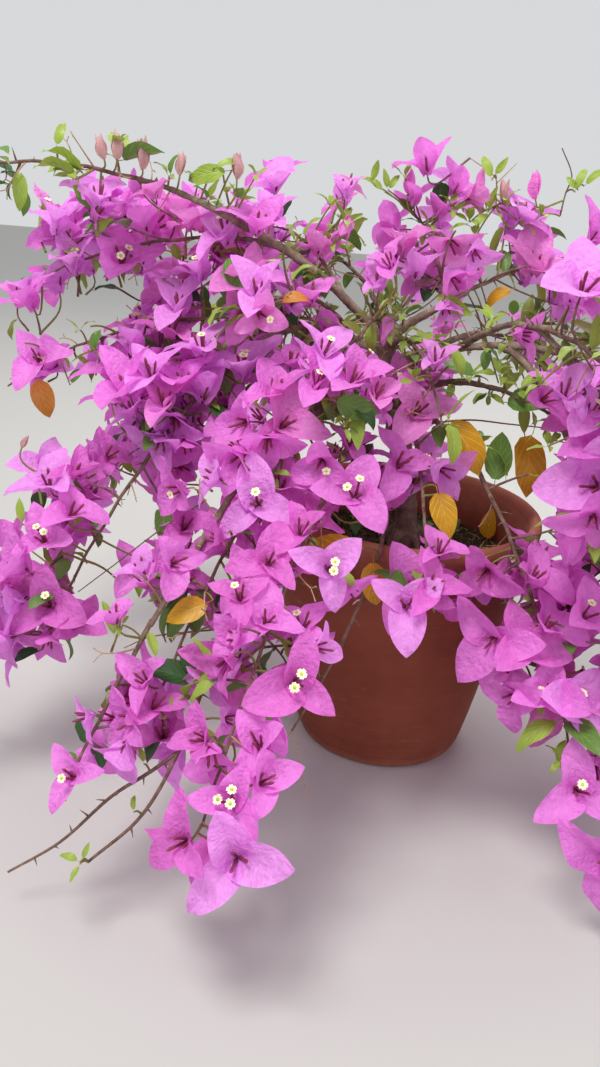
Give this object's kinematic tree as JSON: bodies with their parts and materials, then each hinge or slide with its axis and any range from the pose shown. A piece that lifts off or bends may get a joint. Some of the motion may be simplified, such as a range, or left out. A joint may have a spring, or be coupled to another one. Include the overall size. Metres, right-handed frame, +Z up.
{
  "type": "potted bougainvillea bush",
  "caption": "Weeping flowering shrub with papery magenta bracts on arching woody canes, growing in a round tapered clay pot that stands on its flat base",
  "frame": {"origin": "centre of the flat underside of the pot", "axes": "-Z points out of the pot's underside into the ground, +Z is up, -Y is the front"},
  "size_m": [0.7648, 0.7149, 0.5678],
  "materials": {
    "terracotta": "matte unglazed clay",
    "soil": "moist crumbly potting soil",
    "bark": "rough grey brown bark",
    "blossom": "thin papery bracts and leaves"
  },
  "bodies": {
    "root": {"pot": "terracotta", "soil": "soil", "trunk": "bark", "bough_centre_right": "bark", "bough_crown_front": "bark", "bough_crown_centre": "bark", "bough_crown_top": "bark", "bough_top_right": "bark", "bough_right_inner": "bark", "bough_back_top": "bark", "bough_left_arch": "bark", "bough_upper_left": "bark", "bough_left_branch": "bark", "bough_left_fall": "bark", "bough_left_back": "bark", "bough_lower_left": "bark", "bough_front_left": "bark", "bough_front_hang": "bark", "bough_front": "bark", "bough_front_right": "bark", "bough_right_reach": "bark", "bough_right_near": "bark", "bough_right_mid": "bark", "bough_right_side": "bark", "bough_right_hang": "bark", "bough_upright": "bark", "bough_back_right": "bark", "bough_back": "bark", "bough_back_left": "bark", "foliage_centre_right": "blossom", "foliage_crown_front": "blossom", "foliage_crown_centre": "blossom", "foliage_crown_top": "blossom", "foliage_top_right": "blossom", "foliage_right_inner": "blossom", "foliage_back_top": "blossom", "foliage_left_arch": "blossom", "foliage_upper_left": "blossom", "foliage_left_branch": "blossom", "foliage_left_fall": "blossom", "foliage_left_back": "blossom", "foliage_lower_left": "blossom", "foliage_front_left": "blossom", "foliage_front_hang": "blossom", "foliage_front": "blossom", "foliage_front_right": "blossom", "foliage_right_reach": "blossom", "foliage_right_near": "blossom", "foliage_right_mid": "blossom", "foliage_right_side": "blossom", "foliage_right_hang": "blossom", "foliage_upright": "blossom", "foliage_back_right": "blossom", "foliage_back": "blossom", "foliage_back_left": "blossom"}
  },
  "joints": []
}
